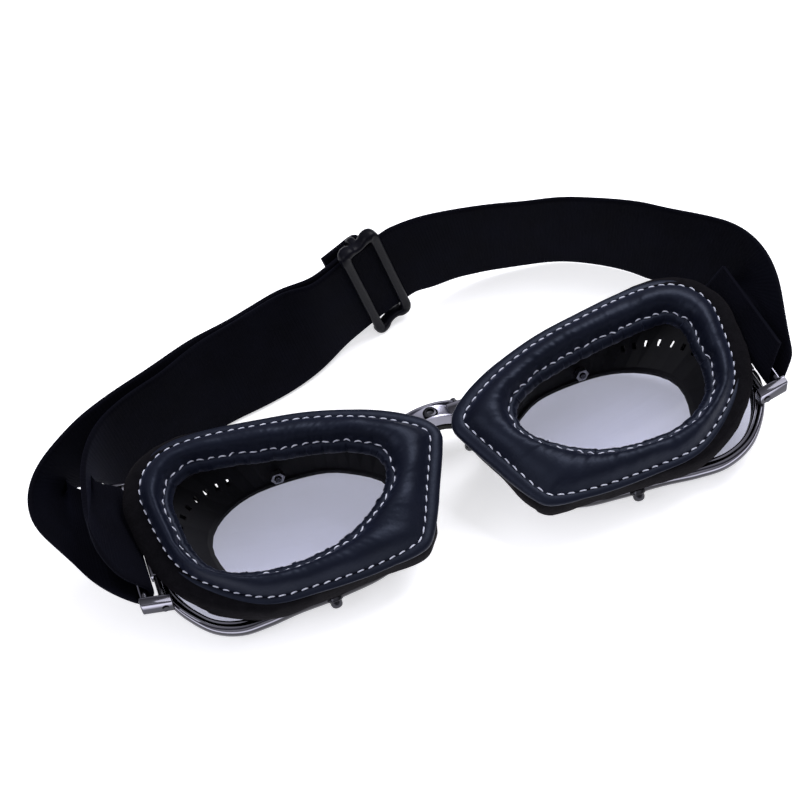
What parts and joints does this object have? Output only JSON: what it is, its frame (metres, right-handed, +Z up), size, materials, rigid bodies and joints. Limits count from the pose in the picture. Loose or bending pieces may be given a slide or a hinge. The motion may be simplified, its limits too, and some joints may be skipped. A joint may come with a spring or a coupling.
{
  "type": "motorcycle goggles",
  "caption": "Motorcycle goggles with framed clear lenses, padded leather face cushions, a hinged nose bridge, strap clips and an elastic head strap with a slider.",
  "frame": {"origin": "middle of the bottom of the bounding box, as the goggles lie on a table, lenses down", "axes": "+X towards the wearer's side with the single strap run, +Y from the cheeks towards the brow, +Z up, away from the table and towards the face"},
  "size_m": [0.2366, 0.114, 0.0448],
  "materials": {
    "chrome": "polished dark chrome",
    "black_steel": "black oxide",
    "rubber": "matte",
    "plastic": "moulded matte",
    "gloss_plastic": "semi-gloss",
    "lens": "clear",
    "leather": "smooth navy",
    "suede": "napped black",
    "foam": "open-cell padding",
    "webbing": "woven elastic"
  },
  "bodies": {
    "bridge": {"bridge_housing": "chrome", "bridge_pad": "rubber", "bridge_screw": "black_steel", "left_bridge_pin": "black_steel", "right_bridge_pin": "black_steel", "strap_main": "webbing", "strap_right_turn": "webbing", "strap_left_inner_turn": "webbing", "strap_left_outer_turn": "webbing", "strap_back_run": "webbing"},
    "slider": {"slider": "gloss_plastic", "strap_slider_loop": "webbing"},
    "left_cup": {"left_rim": "chrome", "left_lens_gasket": "rubber", "left_lens": "lens", "left_cup": "plastic", "left_side_wall": "suede", "left_foam": "foam", "left_cushion": "leather", "left_brow_screw": "black_steel", "left_cheek_screw": "black_steel", "left_nose_screw": "black_steel", "left_brow_nut": "black_steel", "left_cheek_nut": "black_steel", "left_nose_nut": "black_steel", "left_clip_pin": "black_steel"},
    "left_clip": {"left_clip": "chrome", "strap_left_loop": "webbing"},
    "right_cup": {"right_rim": "chrome", "right_lens_gasket": "rubber", "right_lens": "lens", "right_cup": "plastic", "right_side_wall": "suede", "right_foam": "foam", "right_cushion": "leather", "right_brow_screw": "black_steel", "right_cheek_screw": "black_steel", "right_nose_screw": "black_steel", "right_brow_nut": "black_steel", "right_cheek_nut": "black_steel", "right_nose_nut": "black_steel", "right_clip_pin": "black_steel"},
    "right_clip": {"right_clip": "chrome", "strap_right_loop": "webbing"}
  },
  "joints": [
    {"name": "left_cup_hinge", "type": "hinge", "parent": "bridge", "child": "left_cup", "pos_m": [-0.00691, -0.00563, 0.01254], "axis": [0, -1, 0], "range_deg": [-3, 12], "deforming": ["strap_left_inner_turn", "strap_left_outer_turn"]},
    {"name": "left_clip_hinge", "type": "hinge", "parent": "left_cup", "child": "left_clip", "pos_m": [-0.08981, -0.02068, 0.01767], "axis": [0, 1, 0], "range_deg": [-35, 5], "deforming": ["strap_left_inner_turn", "strap_left_outer_turn"]},
    {"name": "right_cup_hinge", "type": "hinge", "parent": "bridge", "child": "right_cup", "pos_m": [0.01029, -0.00563, 0.01254], "axis": [0, 1, 0], "range_deg": [-3, 12], "deforming": ["strap_right_turn"]},
    {"name": "right_clip_hinge", "type": "hinge", "parent": "right_cup", "child": "right_clip", "pos_m": [0.09319, -0.02068, 0.01767], "axis": [0, -1, 0], "range_deg": [-35, 5], "deforming": ["strap_right_turn"]},
    {"name": "slider_slide", "type": "slide", "parent": "bridge", "child": "slider", "axis": [0.9391, 0.3075, 0.153], "range_m": [-0.008, 0.0015], "deforming": ["strap_back_run"]}
  ]
}
